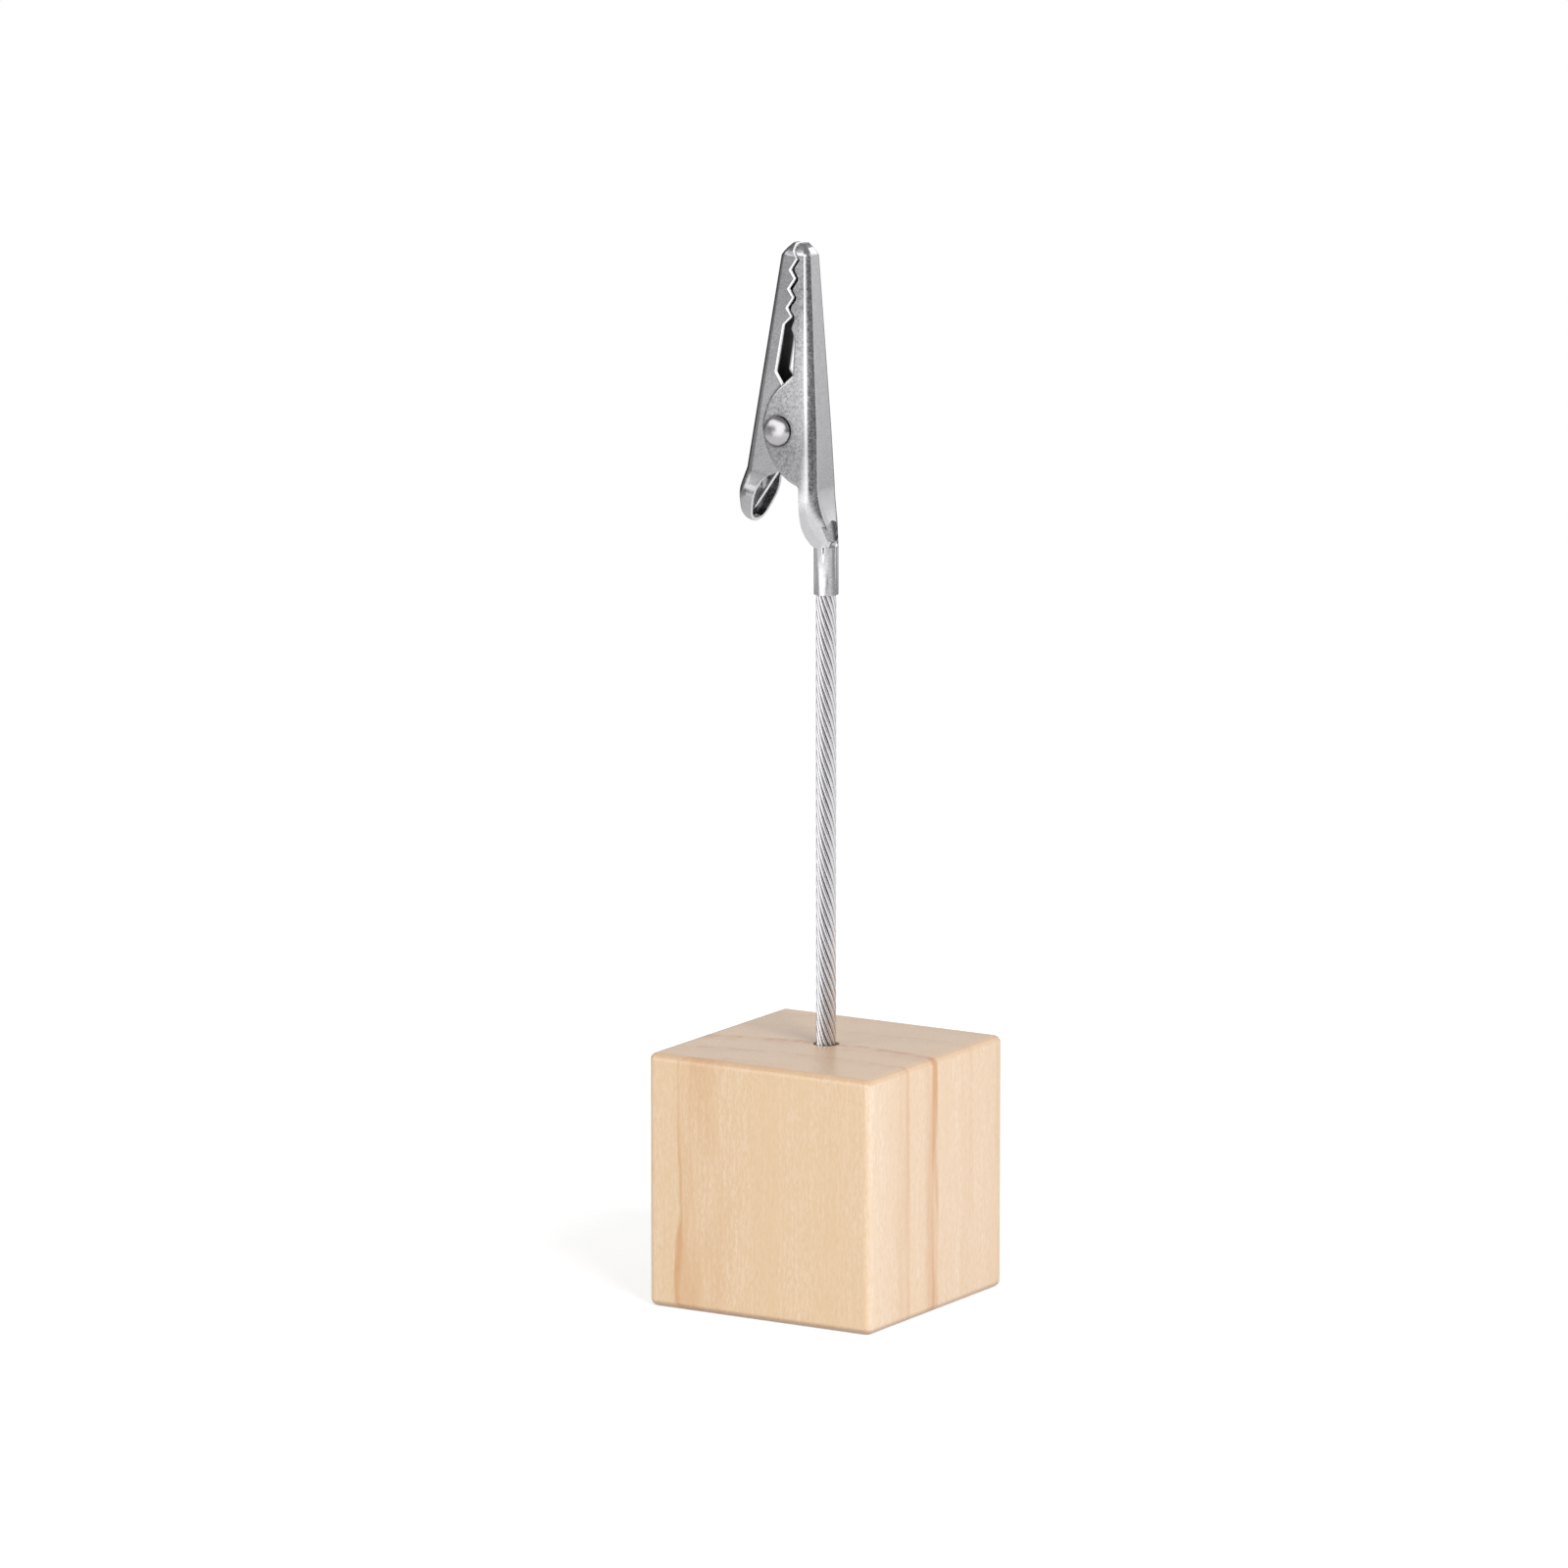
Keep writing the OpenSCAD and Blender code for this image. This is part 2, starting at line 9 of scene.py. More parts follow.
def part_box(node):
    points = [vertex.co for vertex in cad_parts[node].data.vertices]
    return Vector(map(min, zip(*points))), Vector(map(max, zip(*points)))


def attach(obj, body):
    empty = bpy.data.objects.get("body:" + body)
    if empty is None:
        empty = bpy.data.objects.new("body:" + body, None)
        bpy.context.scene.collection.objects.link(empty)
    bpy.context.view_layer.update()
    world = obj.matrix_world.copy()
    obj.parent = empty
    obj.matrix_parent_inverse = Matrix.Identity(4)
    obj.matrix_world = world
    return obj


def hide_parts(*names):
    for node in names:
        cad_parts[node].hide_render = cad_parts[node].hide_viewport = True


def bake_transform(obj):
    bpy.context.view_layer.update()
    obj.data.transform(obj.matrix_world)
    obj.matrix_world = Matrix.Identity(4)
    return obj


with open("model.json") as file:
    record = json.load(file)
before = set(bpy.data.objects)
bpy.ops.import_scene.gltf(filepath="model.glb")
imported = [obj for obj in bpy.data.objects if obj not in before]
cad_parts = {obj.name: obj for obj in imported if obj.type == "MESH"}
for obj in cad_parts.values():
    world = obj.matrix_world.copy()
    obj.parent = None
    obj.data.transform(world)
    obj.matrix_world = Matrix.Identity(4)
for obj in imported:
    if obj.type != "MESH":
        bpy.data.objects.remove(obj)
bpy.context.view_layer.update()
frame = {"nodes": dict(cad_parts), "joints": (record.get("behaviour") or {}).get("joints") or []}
scene = bpy.context.scene
mm = 0.001
pivot = Vector(frame["joints"][0]["pos_m"])
print("frame loaded:", len(frame["nodes"]), "nodes")


# Small helpers for shader trees

def addNode(tree, kind, inputs=None, **settings):
    node = tree.nodes.new(kind)
    for name, value in settings.items():
        setattr(node, name, value)
    for name, value in (inputs or {}).items():
        if isinstance(value, bpy.types.NodeSocket):
            tree.links.new(value, node.inputs[name])
        else:
            node.inputs[name].default_value = value
    return node


def calc(tree, operation, a, b=0.0, c=0.0):
    return addNode(tree, "ShaderNodeMath", {0: a, 1: b, 2: c}, operation=operation).outputs[0]


def mixColour(tree, factor, a, b, blend="MIX"):
    node = addNode(tree, "ShaderNodeMix", data_type="RGBA", blend_type=blend)
    for place, value in ((0, factor), (6, a), (7, b)):
        if isinstance(value, bpy.types.NodeSocket):
            tree.links.new(value, node.inputs[place])
        else:
            node.inputs[place].default_value = value
    return node.outputs[2]


def ramp(tree, factor, stops, interpolation="LINEAR"):
    node = addNode(tree, "ShaderNodeValToRGB", {"Fac": factor})
    node.color_ramp.interpolation = interpolation
    elements = node.color_ramp.elements
    while len(elements) < len(stops):
        elements.new(0.5)
    for element, (place, shade) in zip(elements, stops):
        element.position = place
        element.color = (shade, shade, shade, 1)
    return node.outputs["Color"]


def startMaterial(name):
    material = bpy.data.materials.new(name)
    material.use_nodes = True
    tree = material.node_tree
    return material, tree, tree.nodes["Principled BSDF"]


def objectPlace(tree, stretch):
    # Object coordinates in millimetres, stretched along the axes
    where = addNode(tree, "ShaderNodeTexCoord").outputs["Object"]
    scale = tuple(value / mm for value in stretch)
    return addNode(tree, "ShaderNodeMapping", {"Vector": where, "Scale": scale}).outputs["Vector"]


def facing(tree, axis):
    # how squarely a face looks along an axis of the piece, either way
    normal = addNode(tree, "ShaderNodeTexCoord").outputs["Normal"]
    return calc(tree, "ABSOLUTE", addNode(tree, "ShaderNodeSeparateXYZ", {"Vector": normal}).outputs[axis])


# Shared effects: fine mottling of plated and drawn metal, and painted shade on the plating

metalFinish = {
    "fine": {"Detail": 3.0, "Roughness": 0.6}, "broad": {"Detail": 4.0, "Roughness": 0.55},
    "fineRange": (0.3, 0.7),  # levels of the fine mottling that give the smoothest and the roughest metal
    "span": 40,  # millimetres of height that the painted shade's height table covers, half of them below the pivot
    "sideTurn": (0.5, 0.85),  # a face is a side from here on
    "open": (0.68, 0.97), "feelers": 8,  # how open a crevice and a free face are
    "dullRough": 0.15, "cutRough": 0.15, "cutMetal": 0.2,
}


def makeMottleGroup():
    group = bpy.data.node_groups.new("metalMottle", "ShaderNodeTree")
    face = group.interface
    face.new_socket("Place", in_out="INPUT", socket_type="NodeSocketVector")
    face.new_socket("Fine Scale", in_out="INPUT", socket_type="NodeSocketFloat")
    face.new_socket("Broad Scale", in_out="INPUT", socket_type="NodeSocketFloat")
    face.new_socket("Fine", in_out="OUTPUT", socket_type="NodeSocketFloat")
    face.new_socket("Broad", in_out="OUTPUT", socket_type="NodeSocketFloat")
    entry = addNode(group, "NodeGroupInput")
    leave = addNode(group, "NodeGroupOutput")
    fine = addNode(group, "ShaderNodeTexNoise",
                   {"Vector": entry.outputs["Place"], "Scale": entry.outputs["Fine Scale"], **metalFinish["fine"]})
    broad = addNode(group, "ShaderNodeTexNoise",
                    {"Vector": entry.outputs["Place"], "Scale": entry.outputs["Broad Scale"], **metalFinish["broad"]})
    group.links.new(fine.outputs[0], leave.inputs["Fine"])
    group.links.new(broad.outputs[0], leave.inputs["Broad"])
    return group


mottleGroup = makeMottleGroup()


def paintPlatingShade(tree, colour, look):
    # painted shade: the sides darker by height, the back darker all over, and the crevices darkened where the
    # occlusion finds them
    span = metalFinish["span"]
    height = addNode(tree, "ShaderNodeSeparateXYZ", {"Vector": objectPlace(tree, (1, 1, 1))}).outputs[2]
    height = calc(tree, "DIVIDE", calc(tree, "SUBTRACT", height, pivot.z / mm - span / 2), span)
    paintedShadeByHeight = ramp(tree, height, [(above / span + 0.5, share) for above, share in look["paintedShadeByHeight"]])
    sideFrom, sideFull = metalFinish["sideTurn"]
    isSide = ramp(tree, facing(tree, 1), [(sideFrom, 0.0), (sideFull, 1.0)])
    paintedShade = mixColour(tree, isSide, (*[look["back"]] * 3, 1), paintedShadeByHeight)
    colour = mixColour(tree, 1.0, colour, paintedShade, "MULTIPLY")
    shut, free = metalFinish["open"]
    sky = addNode(tree, "ShaderNodeAmbientOcclusion", {"Distance": look["crevice"]}, samples=metalFinish["feelers"])
    return mixColour(tree, ramp(tree, sky.outputs["AO"], [(shut, 1.0), (free, 0.0)]), colour, (*look["paintedCreviceShade"], 1))


def metalMaterial(name, look):
    material, tree, shader = startMaterial(name)
    shader.inputs["Metallic"].default_value = look["metallic"]
    mottle = addNode(tree, "ShaderNodeGroup", node_tree=mottleGroup)
    tree.links.new(objectPlace(tree, look["stretch"]), mottle.inputs["Place"])
    mottle.inputs["Fine Scale"].default_value = look["fineScale"]
    mottle.inputs["Broad Scale"].default_value = look["broadScale"]
    fine, broad = mottle.outputs["Fine"], mottle.outputs["Broad"]
    colour = mixColour(tree, broad, (*look["dark"], 1), (*look["light"], 1))
    (fineLow, fineHigh), (low, high) = metalFinish["fineRange"], look["roughness"]
    rough = addNode(tree, "ShaderNodeMapRange", {"Value": fine, "From Min": fineLow, "From Max": fineHigh,
                                                 "To Min": low, "To Max": high}).outputs[0]
    if "inner" in look:
        colour = paintPlatingShade(tree, colour, look)
        # painted shade inside the closed channel, and a near-white painted highlight with less metal on cut edges;
        # both are also rougher
        inner = addNode(tree, "ShaderNodeAttribute", attribute_name="innerSide").outputs["Fac"]
        cut = addNode(tree, "ShaderNodeAttribute", attribute_name="cutEdge").outputs["Fac"]
        colour = mixColour(tree, inner, colour, (*look["inner"], 1))
        colour = mixColour(tree, cut, colour, (*look["cut"], 1))
        rough = calc(tree, "MULTIPLY_ADD", cut, metalFinish["cutRough"], rough)
        rough = calc(tree, "MULTIPLY_ADD", inner, metalFinish["dullRough"], rough)
        lost = metalFinish["cutMetal"] - look["metallic"]
        tree.links.new(calc(tree, "MULTIPLY_ADD", cut, lost, look["metallic"]), shader.inputs["Metallic"])
    tree.links.new(colour, shader.inputs["Base Color"])
    tree.links.new(rough, shader.inputs["Roughness"])
    bump = addNode(tree, "ShaderNodeBump",
                   {"Height": fine, "Strength": look["bump"], "Distance": look["bumpDepth"]})
    tree.links.new(bump.outputs[0], shader.inputs["Normal"])
    return material


nickelLook = {
    "metallic": 1.0, "dark": (0.63, 0.62, 0.645), "light": (0.8, 0.79, 0.815),
    # painted shade inside the channel, and a near-white painted highlight on cut edges
    "inner": (0.32, 0.315, 0.325), "cut": (0.97, 0.97, 0.98),
    # painted shade in the crevices, and how far the occlusion reaches for it
    "paintedCreviceShade": (0.06, 0.058, 0.062), "crevice": 0.45 * mm,
    # painted shade: share of the brightness on the back, and on the sides by height above the pivot in millimetres
    "back": 0.86,
    "paintedShadeByHeight": [(-10, 0.84), (-5, 0.64), (-2, 0.55), (2, 0.75), (5, 0.95), (9, 1.0), (11.5, 0.95), (13, 0.82),
               (16, 0.69), (19, 0.8)],
    "roughness": (0.16, 0.3), "bump": 0.3, "bumpDepth": 0.02 * mm,
    "stretch": (1, 1, 1), "fineScale": 3.2, "broadScale": 1.4,
}
# the moving jaw's nickel is a darker copy of the same plating: painted shade
movingLook = nickelLook | {
    "dark": (0.47, 0.46, 0.48), "light": (0.61, 0.6, 0.62), "back": 0.77,
    "paintedShadeByHeight": [(-10, 0.84), (-5, 0.7), (2, 0.76), (5, 0.8), (8, 0.65), (12, 0.71), (15, 0.62), (19, 0.64)],
}
rivetLook = {
    "metallic": 1.0, "dark": (0.44, 0.43, 0.45), "light": (0.54, 0.53, 0.55),
    "roughness": (0.2, 0.3), "bump": 0.2, "bumpDepth": 0.02 * mm,
    "stretch": (1, 1, 1), "fineScale": 3.0, "broadScale": 0.9,
}
ropeLook = {
    "metallic": 0.9, "dark": (0.62, 0.61, 0.635), "light": (0.78, 0.77, 0.79),
    "roughness": (0.2, 0.32), "bump": 0.2, "bumpDepth": 0.01 * mm,
    "stretch": (1, 1, 0.25), "fineScale": 9.0, "broadScale": 1.2,
}
springLook = {
    "metallic": 1.0, "dark": (0.82, 0.81, 0.82), "light": (0.93, 0.92, 0.93),
    "roughness": (0.3, 0.42), "bump": 0.1, "bumpDepth": 0.01 * mm,
    "stretch": (1, 1, 1), "fineScale": 6.0, "broadScale": 0.8,
}
nickel = metalMaterial("nickelPlate", nickelLook)
movingNickelShaded = metalMaterial("movingNickelShaded", movingLook)
rivetNickel = metalMaterial("rivetNickel", rivetLook)
ropeSteel = metalMaterial("drawnRopeWire", ropeLook)
springSteel = metalMaterial("springWire", springLook)

woodLook = {
    "size": 30, "heart": (8, -70),  # millimetres: the block, and the axis of its growth rings
    # radius, strength, share of the soft latewood beside each ring's line, width of that line
    "rings": [(58.2, 0.9, 0.45, 0.1), (63.8, 0.5, 0.4, 0.5), (70.2, 1.0, 0.5, 0.6), (77.9, 0.2, 0.6, 0.5),
              (84.2, 0.25, 0.6, 0.5)],
    "late": (3.0, 1.0), "line": (1.4, 0.5),  # where latewood starts and is full, and a line's foot and top in widths
    "fades": (61, -6, 4),  # rings inside this radius fade out between these places along X
    "reach": (54, 90), "waver": 2.4, "wiggle": 0.5,
    # noise in the wood: stretch along the grain, scale and detail
    "noise": {"waver": (0.1, 0.12, 2.0), "wiggle": (0.2, 0.7, 2.0), "gaps": (0.1, 0.45, 2.0),
              "broad": (0.08, 0.13, 3.0), "band": (0.03, 0.75, 2.0), "fibre": (0.035, 3.2, 4.0),
              "speckle": (0.35, 4.5, 2.0), "pores": (0.12, 5.0, 1.0)},
    # levels of the noise from which a mark shows and is full, and its strength
    "marks": {"broad": (0.35, 0.7, 0.7), "band": (0.35, 0.7, 0.4), "fibre": (0.32, 0.68, 0.95),
              "speckle": (0.4, 0.6, 0.95), "pores": (0.64, 0.74, 0.35)},
    # the sides turn paler towards the front edge: painted highlight
    "gaps": [(0.4, 0.3), (0.56, 1.0)], "paintedHighlightRim": [(0.03, 0.7), (0.2, 0.0)],
    "sideTurn": [(0.3, 0.0), (0.8, 1.0)], "endTurn": [(0.12, 0.0), (0.5, 1.0)],
    # the sides' paler ground is partly painted light, and the end grain's greyer ground is partly painted reflection
    "front": (0.815, 0.665, 0.51), "side": (0.835, 0.7, 0.59), "end": (0.665, 0.51, 0.39),
    "warm": (0.89, 0.775, 0.61), "dark": (0.73, 0.48, 0.28), "pale": (1.06, 1.12, 1.2),  # shares of those grounds
    "noiseRoughness": 0.6, "relief": 0.15, "reliefDepth": 0.03 * mm,
    "roughness": 0.5, "lacquer": 0.8, "lacquerRoughness": 0.22,
}


def ringStops(look):
    # latewood darkens slowly towards the bark and ends sharply
    low, high = look["reach"]
    starts, full = look["late"]
    foot, top = look["line"]
    stops = [(0.0, 0.0)]
    for radius, strength, soft, width in look["rings"]:
        for step, share in ((-starts, 0.0), (-full, soft), (-foot * width, soft), (-top * width, 1.0),
                            (top * width, 1.0), (foot * width, 0.0)):
            stops.append(((radius + step - low) / (high - low), share * strength))
    return stops


def woodMaterial(look):
    material, tree, shader = startMaterial("lacqueredWood")
    noise = {}
    for name, (stretch, scale, detail) in look["noise"].items():
        noise[name] = addNode(tree, "ShaderNodeTexNoise",
                              {"Vector": objectPlace(tree, (1, 1, stretch)), "Scale": scale, "Detail": detail,
                               "Roughness": look["noiseRoughness"]}).outputs[0]
    # growth rings round a distant upright axis
    apart = addNode(tree, "ShaderNodeSeparateXYZ", {"Vector": objectPlace(tree, (1, 1, 1))})
    across = calc(tree, "SUBTRACT", apart.outputs[0], look["heart"][0])
    along = calc(tree, "SUBTRACT", apart.outputs[1], look["heart"][1])
    radius = calc(tree, "SQRT", calc(tree, "MULTIPLY_ADD", across, across, calc(tree, "MULTIPLY", along, along)))
    low, high = look["reach"]
    shift = calc(tree, "MULTIPLY_ADD", noise["waver"], look["waver"], -(look["waver"] + look["wiggle"]) / 2 - low)
    shift = calc(tree, "MULTIPLY_ADD", noise["wiggle"], look["wiggle"], shift)
    ring = ramp(tree, calc(tree, "DIVIDE", calc(tree, "ADD", radius, shift), high - low), ringStops(look), "EASE")
    ring = calc(tree, "MULTIPLY", ring, ramp(tree, noise["gaps"], look["gaps"]))
    fadeRadius, *fadePlaces = look["fades"]
    fadeStart, fadeEnd = (place / look["size"] + 0.5 for place in fadePlaces)
    shareX, shareY = (calc(tree, "MULTIPLY_ADD", apart.outputs[axis], 1 / look["size"], 0.5) for axis in (0, 1))
    kept = ramp(tree, shareX, [(fadeStart, 1.0), (fadeEnd, 0.0)])
    ring = calc(tree, "MULTIPLY", ring, calc(tree, "MAXIMUM", kept, calc(tree, "GREATER_THAN", radius, fadeRadius)))
    # ground colour by the face's direction: front and back, sides, end grain; the sides' paler ground is partly
    # painted light and the end grain's grey is partly painted reflection over its own darker colour
    isSide = ramp(tree, facing(tree, 0), look["sideTurn"])
    isEnd = ramp(tree, facing(tree, 2), look["endTurn"])
    ground = mixColour(tree, isSide, (*look["front"], 1), (*look["side"], 1))
    # painted highlight: the sides lighten towards the front edge
    pale = mixColour(tree, 1.0, ground, (*look["pale"], 1), "MULTIPLY")
    rim = ramp(tree, shareY, look["paintedHighlightRim"])
    ground = mixColour(tree, calc(tree, "MULTIPLY", rim, isSide), ground, pale)
    ground = mixColour(tree, isEnd, ground, (*look["end"], 1))
    warm = mixColour(tree, 1.0, ground, (*look["warm"], 1), "MULTIPLY")
    dark = mixColour(tree, 1.0, ground, (*look["dark"], 1), "MULTIPLY")
    tone = ground
    for name, (shows, full, strength) in look["marks"].items():
        mark = calc(tree, "MULTIPLY", ramp(tree, noise[name], [(shows, 0.0), (full, 1.0)]), strength)
        tone = mixColour(tree, mark, tone, dark if name == "pores" else warm)
    tone = mixColour(tree, ring, tone, dark)
    tree.links.new(tone, shader.inputs["Base Color"])
    relief = addNode(tree, "ShaderNodeBump",
                     {"Height": noise["fibre"], "Strength": look["relief"], "Distance": look["reliefDepth"]})
    tree.links.new(relief.outputs[0], shader.inputs["Normal"])
    shader.inputs["Roughness"].default_value = look["roughness"]
    shader.inputs["Coat Weight"].default_value = look["lacquer"]
    shader.inputs["Coat Roughness"].default_value = look["lacquerRoughness"]
    return material


wood = woodMaterial(woodLook)

glueLook = {"clear": (0.62, 0.52, 0.34), "cloudy": (0.78, 0.7, 0.52), "roughness": 0.3,
            "clouds": {"Scale": 1.5, "Detail": 3.0}}


def glueMaterial(look):
    material, tree, shader = startMaterial("setGlue")
    cloud = addNode(tree, "ShaderNodeTexNoise", {"Vector": objectPlace(tree, (1, 1, 1)), **look["clouds"]})
    colour = mixColour(tree, cloud.outputs[0], (*look["clear"], 1), (*look["cloudy"], 1))
    tree.links.new(colour, shader.inputs["Base Color"])
    shader.inputs["Roughness"].default_value = look["roughness"]
    return material


glue = glueMaterial(glueLook)
print("materials made")


# Pieces

def addPiece(name, bm, material, body, slot, *nodes):
    mesh = bpy.data.meshes.new(name)
    bm.to_mesh(mesh)
    bm.free()
    mesh.polygons.foreach_set("use_smooth", [True] * len(mesh.polygons))
    mesh.materials.append(material)
    piece = bpy.data.objects.new(name, mesh)
    scene.collection.objects.link(piece)
    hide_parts(*nodes)
    if body:
        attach(piece, body)
    return piece


def weighNormals(piece):
    weigh = piece.modifiers.new("flatFaces", "WEIGHTED_NORMAL")
    weigh.keep_sharp = True


block = {"edge": 0.9 * mm, "edgeSteps": 8, "hole": 3.0 * mm, "depth": 14 * mm,
         "rim": 0.1 * mm, "rimSteps": 3, "holeSides": 48}


def makeBlock():
    low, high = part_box("base_block")
    size = high.x - low.x
    bm = bmesh.new()
    bmesh.ops.create_cube(bm, size=size)
    bmesh.ops.translate(bm, vec=(0, 0, size / 2), verts=bm.verts)
    bmesh.ops.bevel(bm, geom=bm.edges[:], offset=block["edge"], segments=block["edgeSteps"],
                    profile=0.5, affect="EDGES", material=-1)
    top = max(bm.faces, key=lambda face: face.calc_center_median().z + face.normal.z)
    # the top face becomes a ring round the mouth of the hole, and the mouth is sunk to a blind hole
    outline = top.edges[:]
    bmesh.ops.delete(bm, geom=[top], context="FACES_ONLY")
    mouth = bmesh.ops.create_circle(bm, segments=block["holeSides"], radius=block["hole"] / 2,
                                    matrix=Matrix.Translation((0, 0, size)))
    rim = list({edge for vert in mouth["verts"] for edge in vert.link_edges})
    bmesh.ops.bridge_loops(bm, edges=outline + rim)
    sunk = bmesh.ops.extrude_edge_only(bm, edges=rim)["geom"]
    floor = [item for item in sunk if isinstance(item, bmesh.types.BMVert)]
    bmesh.ops.translate(bm, vec=(0, 0, -block["depth"]), verts=floor)
    bmesh.ops.contextual_create(bm, geom=[item for item in sunk if isinstance(item, bmesh.types.BMEdge)
                                          and all(vert in floor for vert in item.verts)])
    bmesh.ops.bevel(bm, geom=rim, offset=block["rim"], segments=block["rimSteps"],
                    profile=0.5, affect="EDGES", material=-1)
    bmesh.ops.recalc_face_normals(bm, faces=bm.faces)
    piece = addPiece("woodBlock", bm, wood, "stand", "wood", "base_block")
    weighNormals(piece)


makeBlock()
frame["nodes"]["glue_plug"].data.materials.clear()
frame["nodes"]["glue_plug"].data.materials.append(glue)
print("block made")

rope = {
    "wire": 0.44 * mm, "innerLay": 0.4775 * mm, "outerLay": 0.955 * mm, "lay": 17.8 * mm,
    "sides": 12, "stepsPerTurn": 28, "innerCount": 6, "outerCount": 12,
    "stray": (0.7, 2.4, 0.9),  # degrees that wires lie off their even places, and the step and start of that wave
}


def layWire(name, node, layRadius, start):
    low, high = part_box(node)
    length = high.z - low.z
    turns = length / rope["lay"]
    steps = math.ceil(turns * rope["stepsPerTurn"])
    lean = math.atan(2 * math.pi * layRadius / rope["lay"])
    bm = bmesh.new()
    bmesh.ops.create_circle(bm, radius=rope["wire"] / 2, segments=rope["sides"])
    bmesh.ops.scale(bm, vec=(1, 1 / math.cos(lean), 1), verts=bm.verts)
    bmesh.ops.translate(bm, vec=(layRadius, 0, low.z), verts=bm.verts)
    bmesh.ops.rotate(bm, cent=(0, 0, 0), matrix=Matrix.Rotation(math.radians(start), 3, "Z"), verts=bm.verts)
    bmesh.ops.spin(bm, geom=bm.verts[:] + bm.edges[:], cent=(0, 0, 0), axis=(0, 0, 1),
                   dvec=(0, 0, length / steps), angle=-2 * math.pi * turns, steps=steps)
    ends = [edge for edge in bm.edges if edge.is_boundary]
    bmesh.ops.holes_fill(bm, edges=ends, sides=0)
    bmesh.ops.recalc_face_normals(bm, faces=bm.faces)
    for edge in ends:
        edge.smooth = False
    addPiece(name, bm, ropeSteel, "stand", "rope_steel", node)


def stray(index):
    degrees, step, first = rope["stray"]
    return degrees * math.sin(step * index + first)


for index in range(1, rope["outerCount"] + 1):
    start = 360 * index / rope["outerCount"] + stray(index)
    layWire(f"outerWire{index}", f"outer_wire_{index}", rope["outerLay"], start)
for index in range(1, rope["innerCount"] + 1):
    start = 360 * index / rope["innerCount"]
    layWire(f"innerWire{index}", f"inner_wire_{index}", rope["innerLay"], start)
layWire("coreWire", "core_wire", 0.0, 0.0)
print("rope laid")

jaw = {
    "edge": 0.36 * mm, "edgeSteps": 5, "crisp": 0.11, "shear": 0.13 * mm, "shearSteps": 3,
    # the last entry is the share of the cut edges' painted highlight kept on the tab's rim
    "weld": 0.0005 * mm, "sharp": 32, "flat": 0.4, "tabRimHighlight": 0.55,
    "bore": 1.5, "nose": 19.5, "tip": 19.9,  # millimetres round and above the pivot
    # parts of a face's normal: inwards if it is inner, outwards and across at most if it is cut, along X if rolled
    "innerTurn": 0.25, "cutTurn": 0.15, "noseTurn": -0.5, "acrossTurn": 0.35, "leftTurn": -0.2,
}
# heights above the pivot, in millimetres, from which the inside gets painted shade, cut edges get a painted
# highlight, and edges are bevelled and rolled, the way that the back faces along X,
# and the bent channel's middle line as heights and places along X
fixedJaw = {"paintedShade": -20, "cut": 5.5, "bevel": -13, "roll": -6.5, "outward": 1,
            "middle": [(-19, 5.0), (-13.3, 5.0), (-8, 4.2), (-2, 2.8), (22, 2.8)]}
movingJaw = {"paintedShade": -5, "cut": -20, "bevel": -20, "roll": -5, "outward": -1,
             "middle": [(-12, -5.2), (-6, -4.1), (0, -2.0), (22, 0.9)]}


def markSides(bm, own):
    inner = bm.faces.layers.float.new("innerSide")
    cut = bm.faces.layers.float.new("cutEdge")
    for face in bm.faces:
        place = (face.calc_center_median() - pivot) / mm
        for (lowZ, lowX), (highZ, highX) in zip(own["middle"], own["middle"][1:]):
            if place.z <= highZ:
                break
        middleX = lowX + (highX - lowX) * (place.z - lowZ) / (highZ - lowZ)
        inwards = Vector((middleX - place.x, -place.y, 0)).normalized()
        isInner = face.normal.dot(inwards) > jaw["innerTurn"]
        # on the nose only what faces the other jaw is cut
        towards = jaw["cutTurn"] if place.z < jaw["nose"] else jaw["noseTurn"]
        isCut = not isInner and abs(face.normal.y) < jaw["acrossTurn"] and own["outward"] * face.normal.x < towards
        face[inner] = float(isInner and place.z > own["paintedShade"])
        bright = 1.0 if place.z > own["paintedShade"] else jaw["tabRimHighlight"]  # the tab's rim keeps only part of the painted highlight
        face[cut] = bright * (isCut and place.z > own["cut"])
    # punching rolls over the outer edges on the burr-free side, breaks the teeth's edges
    # and leaves the others crisp
    roll = bm.edges.layers.float.new("bevel_weight_edge")
    broken = []
    for edge in bm.edges:
        ends = [(vert.co - pivot) / mm for vert in edge.verts]
        low, high = sorted(end.z for end in ends)
        clear = low > own["bevel"] and high < jaw["tip"]
        clear = clear and all(math.hypot(end.x, end.z) > jaw["bore"] for end in ends)
        if clear and edge.calc_face_angle(0) > math.radians(jaw["sharp"]):
            first, second = edge.link_faces
            outside = not (first[inner] or second[inner]) and low > own["roll"]
            isLeft = min(first.normal.x, second.normal.x) < jaw["leftTurn"]
            if outside and not isLeft and (first[cut] or second[cut]):
                broken.append(edge)
            elif high < jaw["nose"]:
                edge[roll] = 1.0 if outside and isLeft else jaw["crisp"]
    fresh = bmesh.ops.bevel(bm, geom=broken, offset=jaw["shear"], segments=jaw["shearSteps"],
                            profile=0.5, affect="EDGES", material=-1, clamp_overlap=False, loop_slide=False)
    # the broken edges' new faces get the cut edges' painted highlight
    for face in fresh["faces"]:
        face[cut] = 1.0


